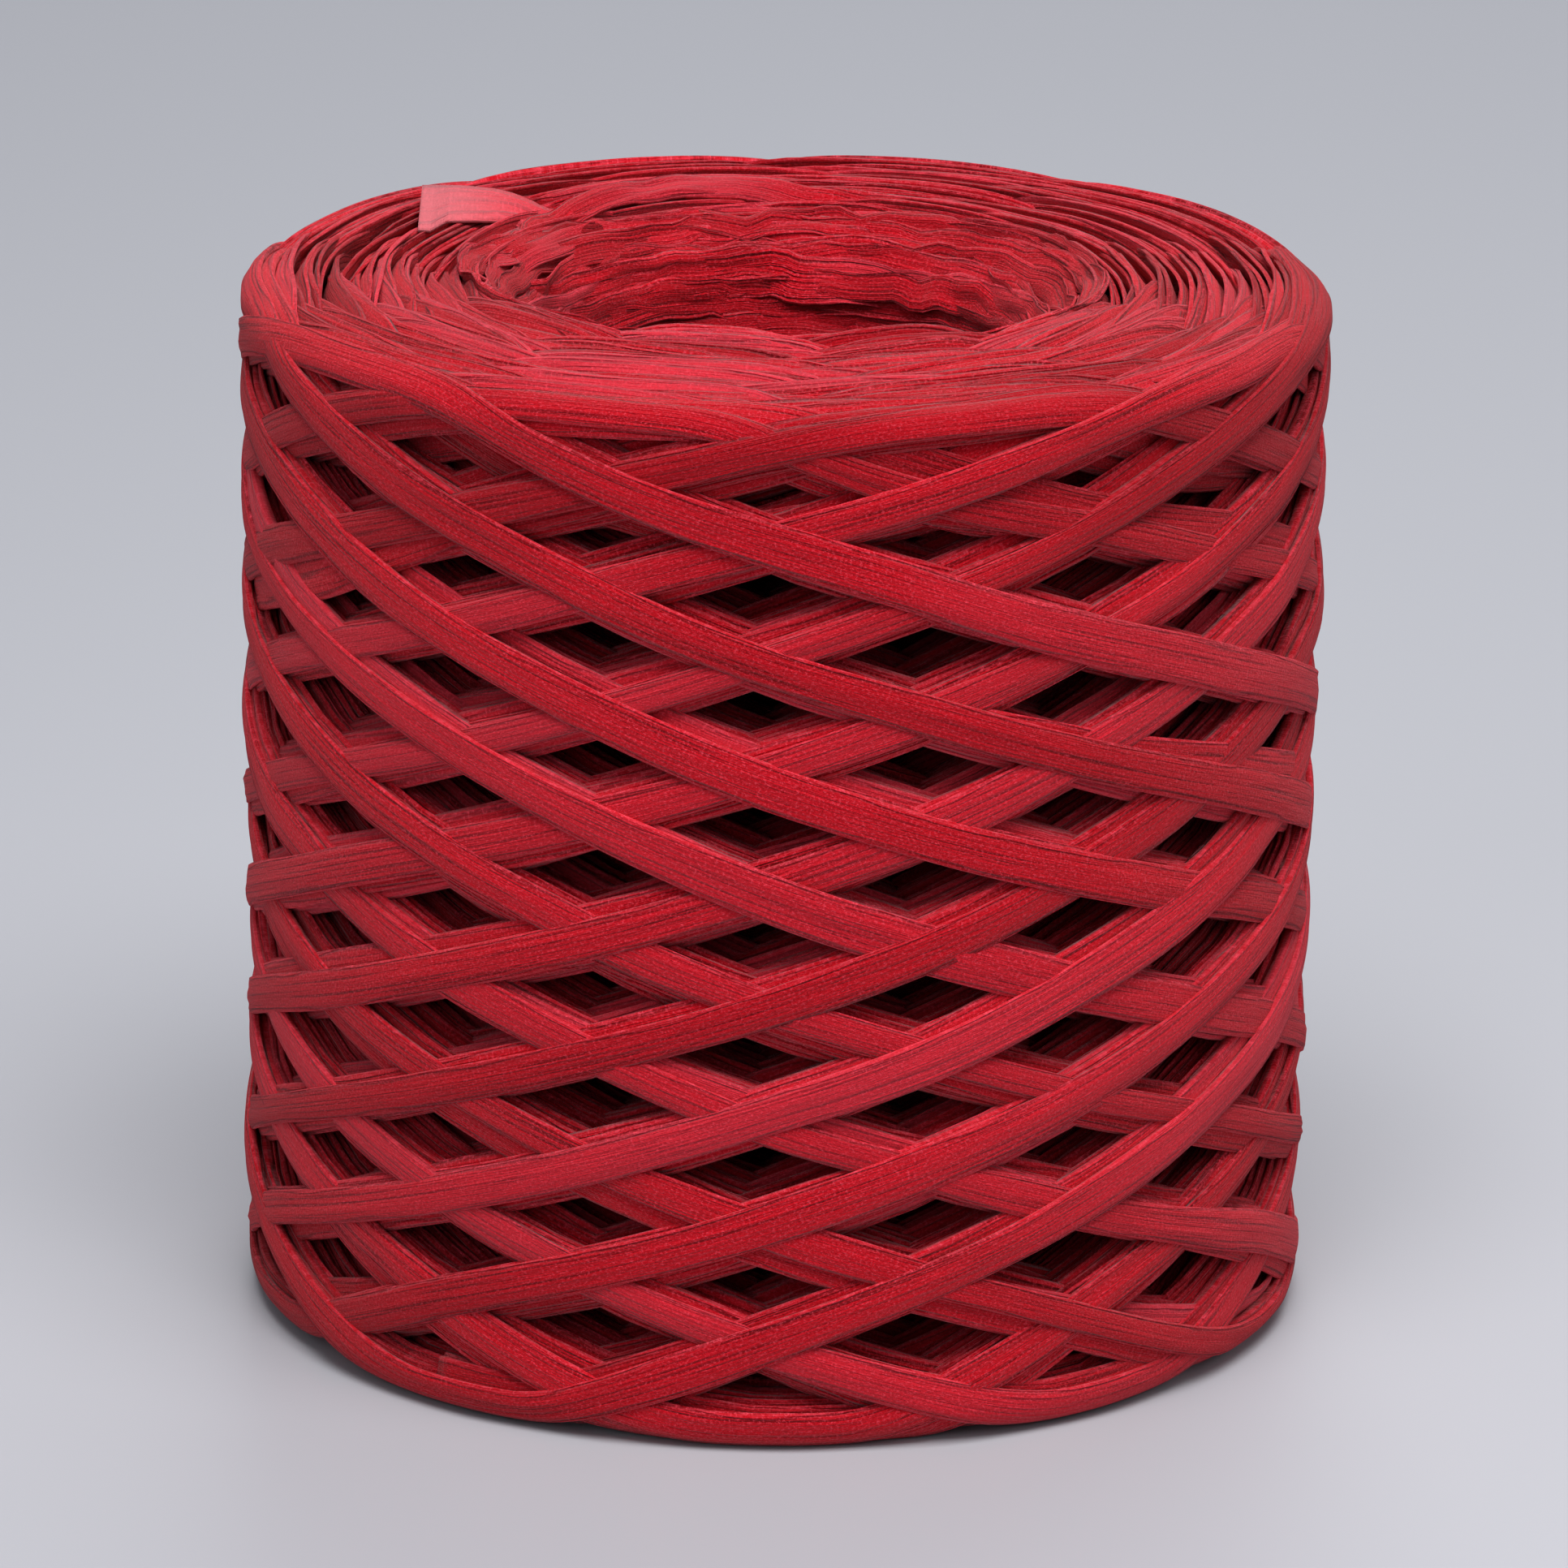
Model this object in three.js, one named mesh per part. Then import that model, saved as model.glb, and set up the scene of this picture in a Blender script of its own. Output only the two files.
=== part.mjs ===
// A roll of paper raffia ribbon. One long ribbon is wound to and fro round an open bore, so that ten strands
// climb each way. Every layer lies on the one below: the crossing strands are radial walls, and the gaps
// between them are deep diamond pits. The ribbon turns back in a dense band at each end, and its leaning edges
// make the end faces. Millimetres and degrees, +Z up, origin at the centre of the base. Angle 0 faces -Y and
// grows towards +X.

import * as THREE from 'three';
import { mergeVertices } from 'three/addons/utils/BufferGeometryUtils.js';

// Driving dimensions of the roll.
const ROLL_HEIGHT = 97.5;
const ROLL_RADIUS = 50;
const TAPER = 0.8;
const BORE_RADIUS = 24;
const BORE_WAVES = [{ count: 3, height: 0.3, start: 57 }, { count: 8, height: 0.2, start: 0 }];
const RIM_ROUNDING = 3.5;
const END_BEVEL = 1.2;
const BORE_LIP = 2 * END_BEVEL;

// The winding: strands that climb each way, how fast they climb, and where they cross. Rows of crossings are
// counted from the one nearest to mid height.
const STRANDS = 10;
const COLUMNS = 2 * STRANDS;
const COLUMN_ANGLE = 360 / COLUMNS;
const CLIMB_PER_DEGREE = 0.296;
const FIRST_ANGLE = 15.5;
const MIDDLE_HEIGHT = 47.5;
const BOTTOM_TURN_ROW = -9;
const TOP_TURN_ROW = 10;
const BOTTOM_LAG = 15;
const TOP_LAG = 23;
const OLDEST_STRAND = 4;

// One strand: the outermost ribbon, which stands proud of the slightly wider stack of layers below it.
const RIBBON_WIDTH = 4.4;
const RIBBON_LIFT = 0.7;
const STACK_LEDGE = 1.4;
const LEDGE_DEPTH = 0.8;

// The end faces: steps round the ring, and the leaning ribbon edges of the top face as low rings.
const STEPS_PER_COLUMN = 3;
const RIM_STEPS = 2;
const EDGE_RINGS = 5;
const EDGE_RING_DEPTH = 0.9;
const EDGE_VALLEY = 0.3;

// The ribbon's inner end, unfolded and lying on the top face beside the bore: from the middle of its cut edge to
// the middle of the narrow end that goes in among the wound layers.
const LOOSE_END_CUT = { x: -34.3, y: 19.7 };
const LOOSE_END_FOOT = { x: -12.8, y: 24.4 };
const LOOSE_END_WIDTH = 10.5;
const LOOSE_END_NECK = 4.5;
const LOOSE_END_STEPS = 12;
const LOOSE_END_CREASES = 3;
const LOOSE_END_CREASE = 0.5;
const SHEET_THICKNESS = 1;
const SEAT_GAP = 0.3;

const LAST_ROW = TOP_TURN_ROW - 1;
const FIRST_ROW = BOTTOM_TURN_ROW + 1;
const STACK_RADIUS = ROLL_RADIUS - RIBBON_LIFT;

function onRoll(radius, angle, height) {
  const turn = THREE.MathUtils.degToRad(angle);
  return new THREE.Vector3(radius * Math.sin(turn), -radius * Math.cos(turn), height);
}

// A point on the side of the roll, or past a rim on its rounding. The height is measured along the surface.
// The package is a little wider at its top, and proud is the distance out from the stacks of ribbon.
function onSide(angle, height, proud) {
  const sides = STACK_RADIUS + TAPER * (height / ROLL_HEIGHT - 0.5);
  const pastTop = height - (ROLL_HEIGHT - RIM_ROUNDING);
  const pastBottom = RIM_ROUNDING - height;
  const round = Math.max(pastTop, pastBottom, 0) / RIM_ROUNDING;
  const reach = RIM_ROUNDING + proud;
  const radius = sides - RIM_ROUNDING + reach * Math.cos(round);
  if (pastTop > 0) {
    return onRoll(radius, angle, ROLL_HEIGHT - RIM_ROUNDING + reach * Math.sin(round));
  }
  return onRoll(radius, angle, pastBottom > 0 ? RIM_ROUNDING - reach * Math.sin(round) : height);
}

function boreRadiusAt(angle) {
  const turn = THREE.MathUtils.degToRad;
  const waves = BORE_WAVES.map(({ count, height, start }) => height * Math.sin(turn(count * angle + start)));
  return BORE_RADIUS + waves.reduce((sum, wave) => sum + wave);
}

function onBore(angle, height) {
  const inside = THREE.MathUtils.clamp(height, BORE_LIP, ROLL_HEIGHT - BORE_LIP);
  return onRoll(boreRadiusAt(angle), angle, inside);
}

// Distance from a turn's peak, at an angle travelled since it. The ribbon lags behind the guide that lays it,
// so the turn is a soft one.
function depthFromTurn(travelled, lag) {
  if (travelled < -lag) {
    return -CLIMB_PER_DEGREE * travelled;
  }
  return CLIMB_PER_DEGREE * (travelled + 2 * lag * Math.exp(-(travelled + lag) / lag));
}

// Height of a row of crossings: half way between a strand that has just turned and one that is about to.
function rowHeight(row) {
  const rise = CLIMB_PER_DEGREE * COLUMN_ANGLE;
  if (row > 0) {
    const travelled = COLUMN_ANGLE * (TOP_TURN_ROW - row);
    const depth = depthFromTurn(travelled, TOP_LAG) + depthFromTurn(-travelled, TOP_LAG);
    return MIDDLE_HEIGHT + rise * TOP_TURN_ROW - depth / 2;
  }
  const travelled = COLUMN_ANGLE * (row - BOTTOM_TURN_ROW);
  const depth = depthFromTurn(travelled, BOTTOM_LAG) + depthFromTurn(-travelled, BOTTOM_LAG);
  return MIDDLE_HEIGHT + rise * BOTTOM_TURN_ROW + depth / 2;
}

// When a strand was wound. Falling strands are laid upwards, each followed by the rising strand that it turns
// into.
function windingOrder(strand, rising) {
  const turn = (((strand - OLDEST_STRAND) % STRANDS) + STRANDS) % STRANDS;
  return rising ? 2 * turn + 1 : 2 * turn;
}

// Whether the rising strand lies over the falling one where they cross.
function risingIsOver(column, row) {
  const rising = (column - row) / 2;
  const falling = (column + row) / 2;
  return windingOrder(rising, true) > windingOrder(falling, false);
}

const triangles = [];

// A flat or nearly flat face as a fan from its first point. Points that repeat the one before are dropped.
function face(...points) {
  const apart = points.filter((point, i) => point !== points[(i + points.length - 1) % points.length]);
  for (let i = 1; i + 1 < apart.length; i += 1) {
    triangles.push(apart[0], apart[i], apart[i + 1]);
  }
}

const rimTop = rowHeight(LAST_ROW) + RIBBON_WIDTH / 2;
const rimFoot = rowHeight(FIRST_ROW) - RIBBON_WIDTH / 2;

// A corner of a crossing: its points on the side of the roll, where the ribbon lies over and where it lies
// under, on the ledge of the stack, and at the bore. Beside the end bands the ribbon sinks in among its
// neighbours.
function corner(angle, height, ledgeAngle, ledgeHeight, risingOver) {
  const fromEnd = Math.min(height - rimFoot, rimTop - height);
  const proud = RIBBON_LIFT * THREE.MathUtils.clamp(fromEnd / RIBBON_WIDTH, 0, 1);
  const under = onSide(angle, height, 0);
  const over = proud > 0 ? onSide(angle, height, proud) : under;
  return {
    over,
    under,
    rising: risingOver ? over : under,
    falling: risingOver ? under : over,
    ledge: onSide(ledgeAngle, ledgeHeight, -LEDGE_DEPTH),
    bore: onBore(ledgeAngle, ledgeHeight),
  };
}

// The gap between four crossings. Its lower edges run straight in to the bore, and its upper edges step down
// to the ledge of the stack above them.
function makeGap(column, row) {
  const angle = FIRST_ANGLE + COLUMN_ANGLE * column;
  const top = rowHeight(row + 1) - RIBBON_WIDTH / 2;
  const bottom = rowHeight(row - 1) + RIBBON_WIDTH / 2;
  const middle = rowHeight(row);
  const width = COLUMN_ANGLE * (top - bottom) / (top - bottom + RIBBON_WIDTH);
  const share = (top - bottom - STACK_LEDGE) / (top - bottom);
  const ledgeMiddle = bottom + (middle - bottom) * share;
  const side = (way) => corner(
    angle + way * width, middle, angle + way * width * share, ledgeMiddle, risingIsOver(column + way, row),
  );
  return {
    left: side(-1),
    right: side(1),
    top: corner(angle, top, angle, top - STACK_LEDGE, risingIsOver(column, row + 1)),
    bottom: corner(angle, bottom, angle, bottom, risingIsOver(column, row - 1)),
  };
}

const gaps = new Map();

function gapAt(column, row) {
  const key = `${(column + COLUMNS) % COLUMNS} ${row}`;
  if (!gaps.has(key)) {
    gaps.set(key, makeGap((column + COLUMNS) % COLUMNS, row));
  }
  return gaps.get(key);
}

function cutGapWalls({ left, right, top, bottom }) {
  face(left.ledge, left.under, left.falling, bottom.falling, bottom.under, bottom.bore, left.bore);
  face(right.ledge, right.bore, bottom.bore, bottom.under, bottom.rising, right.rising, right.under);
  face(left.ledge, top.ledge, top.under, top.rising, left.rising, left.under);
  face(right.ledge, right.under, right.falling, top.falling, top.under, top.ledge);
  face(top.ledge, left.ledge, left.bore, top.bore);
  face(right.ledge, top.ledge, top.bore, right.bore);
}

// The over ribbon at a crossing, its step down to the under ribbon, and the same crossing at the bore.
function crossing(column, row) {
  const left = gapAt(column - 1, row).right;
  const right = gapAt(column + 1, row).left;
  const top = gapAt(column, row + 1).bottom;
  const bottom = gapAt(column, row - 1).top;
  const risingOver = risingIsOver(column, row);
  face(bottom.over, right.over, top.over, left.over);
  face(top.bore, right.bore, bottom.bore, left.bore);
  if (!risingOver || row === FIRST_ROW) {
    face(bottom.over, left.over, left.under, bottom.under);
  }
  if (!risingOver || row === LAST_ROW) {
    face(top.over, right.over, right.under, top.under);
  }
  if (risingOver || row === LAST_ROW) {
    face(left.over, top.over, top.under, left.under);
  }
  if (risingOver || row === FIRST_ROW) {
    face(right.over, bottom.over, bottom.under, right.under);
  }
}

// The stretches of both strands from one crossing to the next one on their right.
function stretches(column, row) {
  const below = gapAt(column, row - 1);
  const above = gapAt(column, row + 1);
  const beside = gapAt(column + 1, row);
  if (row > FIRST_ROW) {
    face(below.right.falling, beside.bottom.falling, beside.left.falling, below.top.falling);
    face(beside.left.bore, beside.bottom.bore, below.right.bore, below.top.bore);
  }
  if (row < LAST_ROW) {
    face(beside.left.rising, beside.top.rising, above.right.rising, above.bottom.rising);
    face(beside.left.bore, above.bottom.bore, above.right.bore, beside.top.bore);
  }
}

// A circle of points round the roll. The columns in which an end crossing points at the circle share its
// corner.
function circle(place, cornerAt) {
  const points = [];
  for (let step = 0; step < COLUMNS * STEPS_PER_COLUMN; step += 1) {
    const shared = step % STEPS_PER_COLUMN === 0 ? cornerAt?.(step / STEPS_PER_COLUMN) : undefined;
    points.push(shared ?? place(FIRST_ANGLE + (COLUMN_ANGLE * step) / STEPS_PER_COLUMN));
  }
  return points;
}

function arcOf(points, fromColumn, toColumn) {
  const arc = [];
  for (let step = fromColumn * STEPS_PER_COLUMN; step <= toColumn * STEPS_PER_COLUMN; step += 1) {
    arc.push(points[(step + points.length) % points.length]);
  }
  return arc;
}

function ringFaces(circles) {
  for (let ring = 0; ring + 1 < circles.length; ring += 1) {
    const near = circles[ring];
    const far = circles[ring + 1];
    for (let i = 0; i < near.length; i += 1) {
      const next = (i + 1) % near.length;
      face(near[i], near[next], far[next], far[i]);
    }
  }
}

// A gap at the end of the package, closed by the ribbons that turn back there.
function closeTopGap(column, outside, inside) {
  const { left, right, bottom } = gapAt(column, LAST_ROW);
  face(bottom.under, right.under, ...arcOf(outside, column - 1, column + 1).reverse(), left.under);
  face(left.falling, bottom.falling, bottom.under, left.under);
  face(bottom.rising, right.rising, right.under, bottom.under);
  face(bottom.bore, left.bore, ...arcOf(inside, column - 1, column + 1), right.bore);
}

function closeBottomGap(column, outside, inside) {
  const { left, right, top } = gapAt(column, FIRST_ROW);
  face(top.under, left.under, ...arcOf(outside, column - 1, column + 1), right.under);
  face(top.rising, left.rising, left.under, top.under);
  face(right.falling, top.falling, top.under, right.under);
  face(top.bore, right.bore, ...arcOf(inside, column - 1, column + 1).reverse(), left.bore);
}

// Points of an end face, at a share of the way from the rim's foot to the bore's bevel.
function onEndFace(angle, share, height) {
  const outer = STACK_RADIUS + TAPER * (height / ROLL_HEIGHT - 0.5) - RIM_ROUNDING;
  const inner = boreRadiusAt(angle) + END_BEVEL;
  return onRoll(outer + (inner - outer) * share, angle, height);
}

function rimCircles(from, end) {
  const circles = [];
  for (let i = 1; i <= RIM_STEPS; i += 1) {
    circles.push(circle((angle) => onSide(angle, from + ((end - from) * i) / RIM_STEPS, 0)));
  }
  return circles;
}

function topEnd(outside, inside) {
  const roundEnd = ROLL_HEIGHT - RIM_ROUNDING + (RIM_ROUNDING * Math.PI) / 2;
  const circles = [outside, ...rimCircles(rimTop, roundEnd)];
  for (let i = 0; i < EDGE_RINGS; i += 1) {
    const valley = (i + EDGE_VALLEY) / EDGE_RINGS;
    const crest = (i + 1) / EDGE_RINGS;
    circles.push(circle((angle) => onEndFace(angle, valley, ROLL_HEIGHT - EDGE_RING_DEPTH)));
    circles.push(circle((angle) => onEndFace(angle, crest, ROLL_HEIGHT)));
  }
  circles.push(circle((angle) => onRoll(boreRadiusAt(angle), angle, ROLL_HEIGHT - END_BEVEL)), inside);
  ringFaces(circles);
}

function bottomEnd(outside, inside) {
  const roundEnd = RIM_ROUNDING - (RIM_ROUNDING * Math.PI) / 2;
  const circles = [outside, ...rimCircles(rimFoot, roundEnd)];
  circles.push(circle((angle) => onEndFace(angle, 1, 0)));
  circles.push(circle((angle) => onRoll(boreRadiusAt(angle), angle, END_BEVEL)), inside);
  ringFaces(circles.reverse());
}

function buildRoll() {
  const isCrossing = (column, row) => (column + row) % 2 === 0;
  for (let row = FIRST_ROW; row <= LAST_ROW; row += 1) {
    for (let column = 0; column < COLUMNS; column += 1) {
      if (isCrossing(column, row)) {
        crossing(column, row);
        stretches(column, row);
      } else if (row > FIRST_ROW && row < LAST_ROW) {
        cutGapWalls(gapAt(column, row));
      }
    }
  }
  const topPoint = (name) => (column) => (
    isCrossing(column, LAST_ROW) ? gapAt(column, LAST_ROW + 1).bottom[name] : undefined
  );
  const bottomPoint = (name) => (column) => (
    isCrossing(column, FIRST_ROW) ? gapAt(column, FIRST_ROW - 1).top[name] : undefined
  );
  const topOutside = circle((angle) => onSide(angle, rimTop, 0), topPoint('under'));
  const topInside = circle((angle) => onBore(angle, rimTop), topPoint('bore'));
  const bottomOutside = circle((angle) => onSide(angle, rimFoot, 0), bottomPoint('under'));
  const bottomInside = circle((angle) => onBore(angle, rimFoot), bottomPoint('bore'));
  for (let column = 0; column < COLUMNS; column += 1) {
    if (!isCrossing(column, LAST_ROW)) {
      closeTopGap(column, topOutside, topInside);
    }
    if (!isCrossing(column, FIRST_ROW)) {
      closeBottomGap(column, bottomOutside, bottomInside);
    }
  }
  topEnd(topOutside, topInside);
  bottomEnd(bottomOutside, bottomInside);
  return mergeVertices(new THREE.BufferGeometry().setFromPoints(triangles), 1e-4);
}

// The loose end is a flat strip first: x across it, y through it and z along it. Then it is laid out beside the
// bore, narrower where it goes in among the wound layers.
function buildLooseEnd() {
  const section = new THREE.Shape();
  section.moveTo(-1, 0);
  section.lineTo(1, 0);
  section.lineTo(1, 1);
  section.lineTo(-1, 1);
  section.closePath();
  const strip = new THREE.ExtrudeGeometry(section, { steps: LOOSE_END_STEPS, depth: 1, bevelEnabled: false });
  const position = strip.attributes.position;
  for (let i = 0; i < position.count; i += 1) {
    const along = position.getZ(i);
    const width = THREE.MathUtils.lerp(LOOSE_END_WIDTH, LOOSE_END_NECK, along);
    const x = THREE.MathUtils.lerp(LOOSE_END_CUT.x, LOOSE_END_FOOT.x, along);
    const middle = THREE.MathUtils.lerp(LOOSE_END_CUT.y, LOOSE_END_FOOT.y, along);
    const y = middle + (position.getX(i) * width) / 2;
    const crease = LOOSE_END_CREASE * Math.sin(Math.PI * LOOSE_END_CREASES * along) ** 2;
    position.setXYZ(i, x, y, ROLL_HEIGHT + SEAT_GAP + crease + position.getY(i) * SHEET_THICKNESS);
  }
  return strip;
}

function paper(name, geometry, color) {
  const material = new THREE.MeshStandardMaterial({ color, roughness: 0.9, metalness: 0 });
  geometry.computeVertexNormals();
  const mesh = new THREE.Mesh(geometry, material);
  mesh.name = name;
  return mesh;
}

const roll = new THREE.Group();
roll.add(paper('wound_roll', buildRoll(), '#b3202f'));
roll.add(paper('loose_end', buildLooseEnd(), '#cf4a55'));

export default roll;
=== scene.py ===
# %% [markdown]
# # A roll of paper raffia ribbon
# A machine winds one long paper ribbon, end to end and back, over a mandrel that is pulled out afterwards.
# Every stroke climbs the same height for each degree it turns, and ten pairs of strokes share the round.
# So the strokes of each later cycle lie on those of the last one, and ten leaning walls grow each way.
# Where no stroke ever passes, a diamond-shaped pit stays open from the outside down to the bore.
# The lesson lays the ribbon down as the machine does: one long path, and a thin section swept along it.

# %% Start
import math

import bpy
import numpy as np
from mathutils import Matrix, Vector


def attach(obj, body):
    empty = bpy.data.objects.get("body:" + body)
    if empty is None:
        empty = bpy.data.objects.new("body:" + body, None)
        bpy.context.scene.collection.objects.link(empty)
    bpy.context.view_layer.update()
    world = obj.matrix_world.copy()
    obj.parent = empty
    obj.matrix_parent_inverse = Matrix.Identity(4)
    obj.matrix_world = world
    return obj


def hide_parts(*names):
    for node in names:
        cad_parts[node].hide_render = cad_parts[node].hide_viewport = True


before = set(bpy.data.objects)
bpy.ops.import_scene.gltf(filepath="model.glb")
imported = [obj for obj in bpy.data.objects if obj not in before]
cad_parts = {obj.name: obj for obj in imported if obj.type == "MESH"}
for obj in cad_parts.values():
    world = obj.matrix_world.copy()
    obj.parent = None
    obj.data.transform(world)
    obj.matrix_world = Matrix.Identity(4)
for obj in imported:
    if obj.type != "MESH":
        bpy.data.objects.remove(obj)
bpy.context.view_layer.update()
scene = bpy.context.scene
print("solids:", ", ".join(sorted(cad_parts)))

# %% [markdown]
# ## The camera
# The two ellipses of the top rim and the lean of the sides give the eye: about a metre off, 17 degrees up.
# A camera can also be pushed about by hand until the picture fits, but a few measures are easier to correct.
# It comes first, so that each later piece can be judged from the place that the photo was taken from.
# Lengths are in metres in this cell, apart from those of the lens, and angles are in degrees.

# %% Camera
EYE_DISTANCE = 0.9645
EYE_RISE = 16.79
EYE_ROLL = 0.64
TARGET = Vector((0, 0, 0.04874))
FOCAL_LENGTH = 237.2
SENSOR_WIDTH = 36
LENS_SHIFT = (0.0029, -0.0032)

rise = math.radians(EYE_RISE)
eye = TARGET + EYE_DISTANCE * Vector((0, -math.cos(rise), math.sin(rise)))
turn = Matrix.Rotation(math.radians(90 - EYE_RISE), 4, "X") @ Matrix.Rotation(math.radians(EYE_ROLL), 4, "Z")

lens = bpy.data.cameras.new("camera")
lens.lens = FOCAL_LENGTH
lens.sensor_width = SENSOR_WIDTH
lens.shift_x, lens.shift_y = LENS_SHIFT
camera = bpy.data.objects.new("camera", lens)
scene.collection.objects.link(camera)
camera.matrix_world = Matrix.Translation(eye) @ turn
scene.camera = camera
print("camera at", [round(x, 4) for x in eye])

# %% [markdown]
# ## How the roll is wound
# Angles are counted along the ribbon: 342 degrees of winding take it from one end of the roll to the other.
# Nineteen crossings fall on each stroke, one every 18 degrees, which is what keeps the pits in columns.
# Walls and pits could be modelled one by one. Following the machine instead puts every crossing in its place
# by one rule, and the edges that show in the pits and on the end faces come by themselves.
# All lengths of the ribbon are in millimetres, and only the finished mesh is turned into metres.

# %% Measures of the winding
# Pairs of strokes in a cycle, degrees of winding in a stroke, and crossings on it.
PAIRS = 10
STROKES = 2 * PAIRS
STROKE = 342.0
CYCLE = STROKES * STROKE
CYCLES = 38
CROSSINGS = 19
CROSSING = STROKE / CROSSINGS

# What the ribbon climbs for each degree, where it starts, and the sizes of the roll and of a layer.
CLIMB = 0.296
LOWEST = -0.45
START_ANGLE = 321.5
BORE_RADIUS = 24.0
LAYER = 0.34
HEIGHT = 97.5
TAPER = 0.8
print("turns of ribbon:", CYCLES * CYCLE / 360)

# %% [markdown]
# ## Which layer lies on which
# A stroke crosses over the strokes laid before it and under those still to come, in every cycle alike.
# Blender could let the layers fall on each other in a simulation, but 14,000 crossings are too many for it.
# Counting is enough: it gives the layers under the ribbon at each crossing, so that no layer cuts another.
# Half way between two crossings the ribbon steps up or down, softly, as stiff paper does.

# %% Layers under the ribbon
# Crossings are counted a little past the last cycle, for the tail. A step takes the middle of its way.
SPARE_CYCLES = 0.1
STEP_START = 0.2
STEP_LENGTH = 0.6


def level_of_crossings(count):
    """Counts the layers under the ribbon at each crossing, from the first on."""
    stroke, n = np.divmod(np.arange(count), CROSSINGS)
    cycle, place = np.divmod(stroke, STROKES)
    own = place // 2
    climbing = place % 2 == 0
    middle = CROSSINGS // 2
    other = np.where(climbing, own - (n - middle), own + (middle + 1 - n)) % PAIRS
    over = np.where(climbing, other < own, other <= own)
    return 2 * cycle + over


def ease(x):
    """Goes from 0 to 1 and is flat at both ends."""
    x = np.clip(x, 0, 1)
    return x * x * (3 - 2 * x)


LEVELS = level_of_crossings(int((CYCLES + SPARE_CYCLES) * CYCLE / CROSSING))


def level_along(w):
    """Gives the number of layers under the ribbon at each winding angle."""
    place = w / CROSSING
    at = np.floor(place).astype(int)
    step = ease((place - at - STEP_START) / STEP_LENGTH)
    return LEVELS[at] * (1 - step) + LEVELS[at + 1] * step


print("crossings:", len(LEVELS), "layers:", LEVELS.max() + 1)

# %% [markdown]
# ## The turns at both ends
# The guide that lays the ribbon reverses at once. The ribbon trails behind it and swings round in a soft
# bend, and hundreds of such bends make the dense band at each end of the roll. A bend could be drawn as a
# curve. The lag itself is simpler: one angle gives the whole bend, and it is longer at the top.

# %% Height along the ribbon
# Degrees by which the ribbon trails at each end, and how far from a turn its peak is looked for.
TOP_LAG = 23.0
BOTTOM_LAG = 14.5
NEAR_TURN = 20


def overshoot(y, lag):
    """Says how far a guide that turns round at y = 0 drags the ribbon past, as it lags behind."""
    trail = 2 * lag * np.exp(-(y + lag) / lag)
    before = np.where(y < 0, 2 * y, 0)
    return np.where(y < -lag, 0, CLIMB * (before + trail))


def height_along(w):
    """Gives the height of the ribbon's middle at each winding angle."""
    phase = w % (2 * STROKE)
    straight = LOWEST + CLIMB * np.minimum(phase, 2 * STROKE - phase)
    from_bottom = (phase + STROKE) % (2 * STROKE) - STROKE
    return straight - overshoot(phase - STROKE, TOP_LAG) + overshoot(from_bottom, BOTTOM_LAG)


def flatten(pit_shade, share, reach):
    """Draws heights near a turn's peak together, so that the turns make one level band."""
    return pit_shade * (1 - share * np.exp(-pit_shade / reach))


TOP_PEAK = height_along(STROKE + np.linspace(-NEAR_TURN, NEAR_TURN, 81)).max()
BOTTOM_PEAK = height_along(np.linspace(2, NEAR_TURN, 37)).min()
print("turns peak at", round(TOP_PEAK, 2), "and", round(BOTTOM_PEAK, 2))

# %% [markdown]
# ## What chance leaves
# Paper is never laid twice in quite the same place: each stroke lies a little high or low and wide or narrow.
# Plain noise would shake each layer on its own, and the walls would look like fur. Real strokes follow the
# stroke below, so the drift is carried from one cycle to the next and only partly renewed.
# That is why the edges in a pit stand in loose groups, some proud and some sunk. Each drift has its own seed.


# %% Drift
class Drift:
    """Random numbers along the ribbon, so many to a stroke, that partly follow those of a cycle before."""

    def __init__(self, seed, per_stroke, keep):
        random = np.random.default_rng(seed)
        steps = random.normal(size=(CYCLES + 1, STROKES * per_stroke))
        for cycle in range(1, CYCLES + 1):
            steps[cycle] = keep * steps[cycle - 1] + math.sqrt(1 - keep * keep) * steps[cycle]
        self.steps = steps.ravel()
        self.per_stroke = per_stroke

    def at(self, w, per_stroke=None):
        """Reads the numbers at winding angles, softly from one to the next, and closer together if asked."""
        place = w * (per_stroke or self.per_stroke) / STROKE
        at = np.floor(place).astype(int)
        step = ease(place - at)
        return self.steps[at] * (1 - step) + self.steps[at + 1] * step


HEIGHT_DRIFT = Drift(11, 5, 0.55)
HEIGHT_JITTER = Drift(12, 16, 0.0)
PEAK_DRIFT = Drift(18, 1, 0.0)
TURN_DRIFT = Drift(19, 1, 0.2)
WIDTH_DRIFT = Drift(13, 4, 0.4)
WIDTH_JITTER = Drift(14, 22, 0.0)
RADIUS_JITTER = Drift(15, 14, 0.2)
LEAN_DRIFT = Drift(16, 6, 0.3)
TONE_DRIFT = Drift(17, 3, 0.5)
CREASE_DRIFTS = [Drift(30 + i, 24, 0.0) for i in range(10)]
print("drift runs of", len(HEIGHT_DRIFT.steps), "to", len(WIDTH_JITTER.steps), "numbers")

# %% [markdown]
# ## The height of each stroke
# In the walls a stroke strays by half a millimetre. In the bands at both ends it is pressed level with the
# others, but each turn comes a little early or late, and its peak stops a little short of the rim.
# Moving the finished ribbons about would tear them from their turns. So the strays are added to the plain
# height before anything is swept, and those of the bands fade in with height.

# %% Stray heights
# Where the bands begin, and what a stroke strays and shakes, which is less in the bands.
TOP_BAND = 82
BOTTOM_BAND = 13
BAND_FADE = 11
HEIGHT_STRAY = 0.52
HEIGHT_SHAKE = 0.15
BAND_CALM = 0.6

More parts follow.
